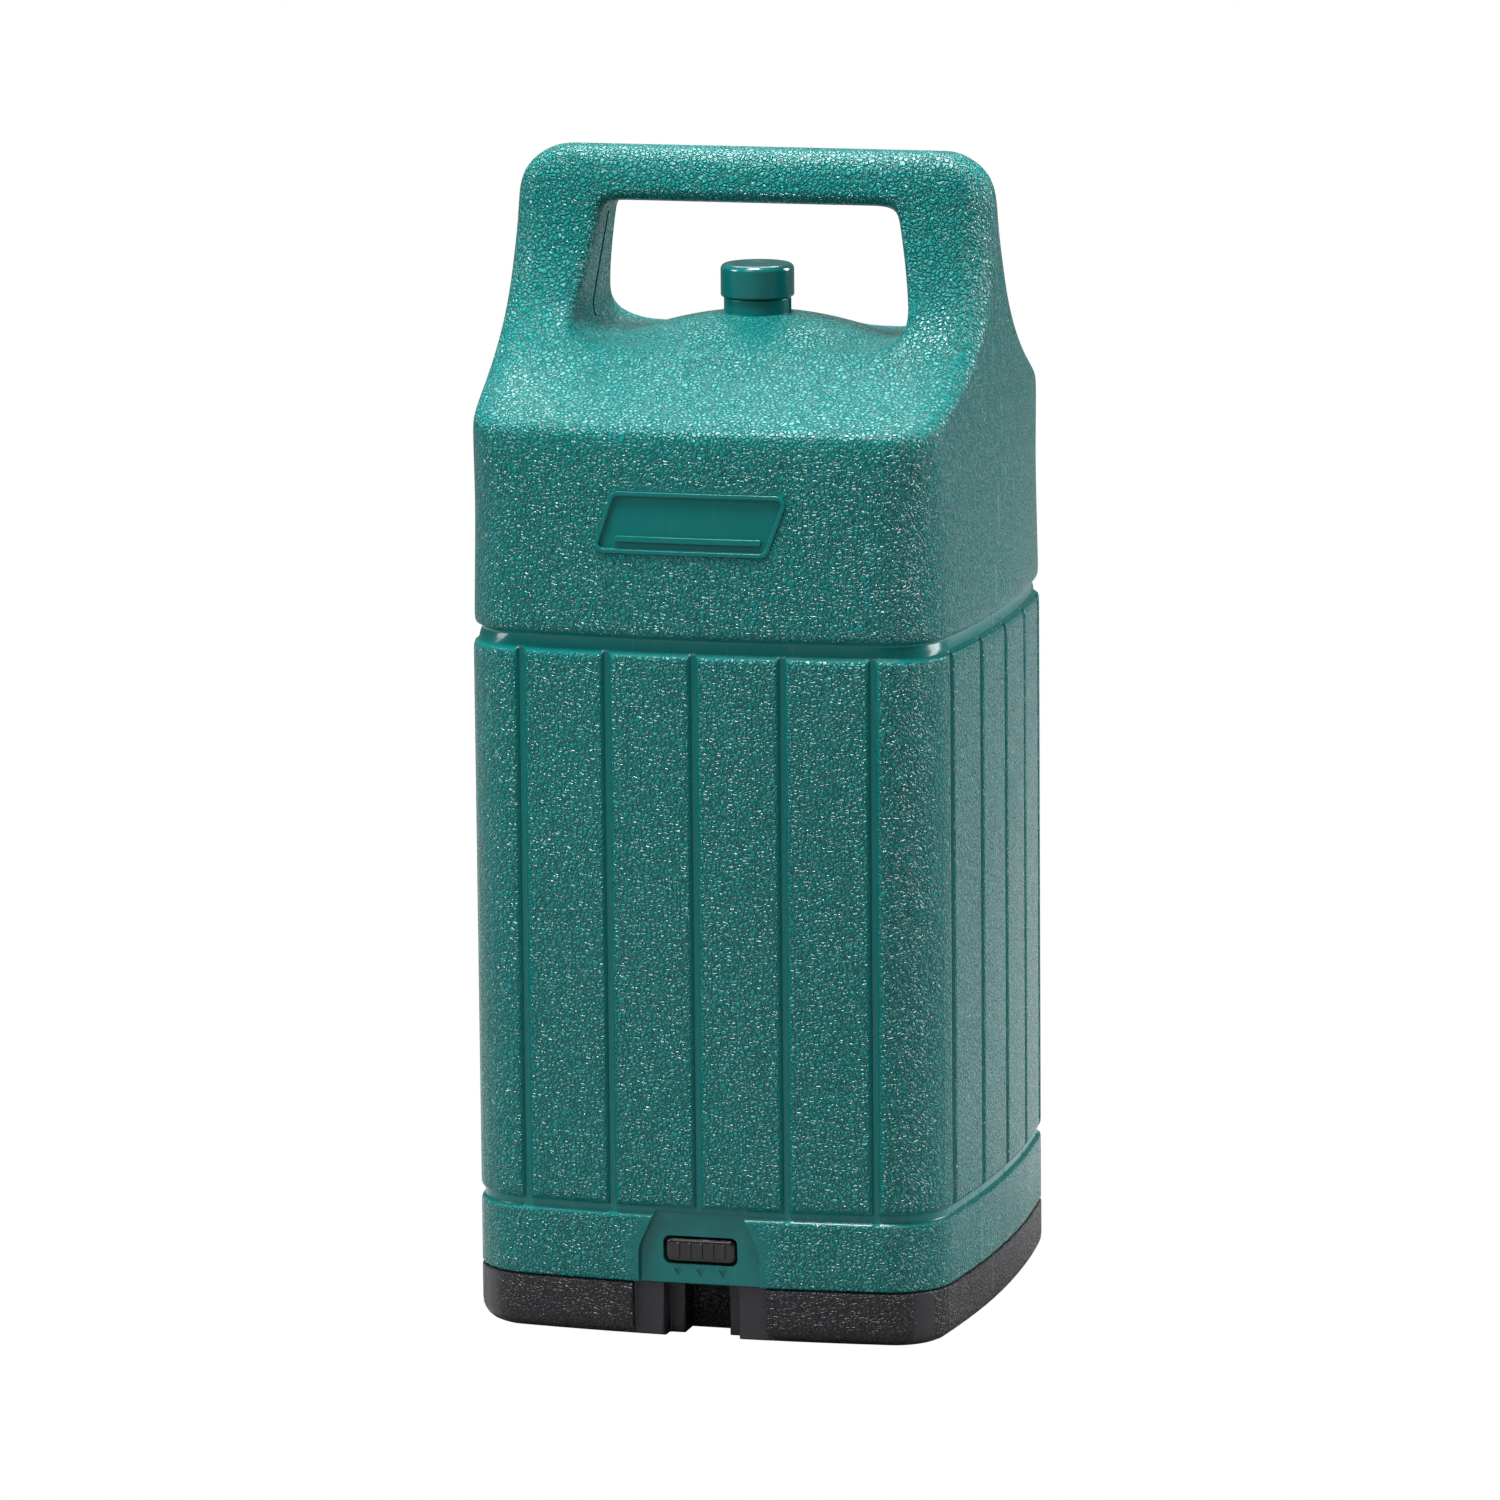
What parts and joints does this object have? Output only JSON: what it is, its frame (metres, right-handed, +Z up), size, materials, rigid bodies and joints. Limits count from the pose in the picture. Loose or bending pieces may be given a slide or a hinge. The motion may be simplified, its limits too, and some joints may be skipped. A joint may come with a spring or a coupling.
{
  "type": "lantern carry case",
  "caption": "Tall hard-shell carry case for a propane lantern: a moulded cover with a built-in handle lifts off a low base tray once the push button latches are pressed.",
  "frame": {"origin": "centre of the underside of the base tray", "axes": "+Z up to the handle, -Y towards the front with the plain badge frame, handle bar along X"},
  "size_m": [0.2, 0.2, 0.457],
  "materials": {
    "cover_green": "leather-grained blow-moulded polyethylene with smooth groove floors",
    "cap_green": "smooth glossy moulding, darker green",
    "base_black": "leather-grained charcoal black polyethylene with smooth latch faces",
    "deck_black": "fine satin charcoal moulding",
    "latch_black": "glossy black injection moulding",
    "housing_black": "plain satin black injection moulding",
    "spring_steel": "drawn spring wire",
    "screw_steel": "zinc-plated steel"
  },
  "bodies": {
    "base": {"base_tray": "base_black", "lantern_deck": "deck_black", "deck_screw_front_left": "screw_steel", "deck_screw_front_right": "screw_steel", "deck_screw_rear_left": "screw_steel", "deck_screw_rear_right": "screw_steel", "front_latch_housing": "housing_black", "front_latch_spring_left": "spring_steel", "front_latch_spring_right": "spring_steel", "front_latch_screw_left": "screw_steel", "front_latch_screw_right": "screw_steel", "rear_latch_housing": "housing_black", "rear_latch_spring_left": "spring_steel", "rear_latch_spring_right": "spring_steel", "rear_latch_screw_left": "screw_steel", "rear_latch_screw_right": "screw_steel"},
    "cover": {"cover_shell": "cover_green", "top_cap": "cap_green"},
    "front_latch": {"front_latch_button": "latch_black"},
    "rear_latch": {"rear_latch_button": "latch_black"}
  },
  "joints": [
    {"name": "cover_lift", "type": "slide", "parent": "base", "child": "cover", "axis": [0, 0, 1], "range_m": [0, 0.42]},
    {"name": "front_latch_press", "type": "slide", "parent": "base", "child": "front_latch", "axis": [0, 1, 0], "range_m": [0, 0.005], "stiffness_N_per_m": 800, "springref_m": -0.002, "deforming": ["front_latch_spring_left", "front_latch_spring_right"]},
    {"name": "rear_latch_press", "type": "slide", "parent": "base", "child": "rear_latch", "axis": [0, -1, 0], "range_m": [0, 0.005], "stiffness_N_per_m": 800, "springref_m": -0.002, "deforming": ["rear_latch_spring_left", "rear_latch_spring_right"]}
  ]
}
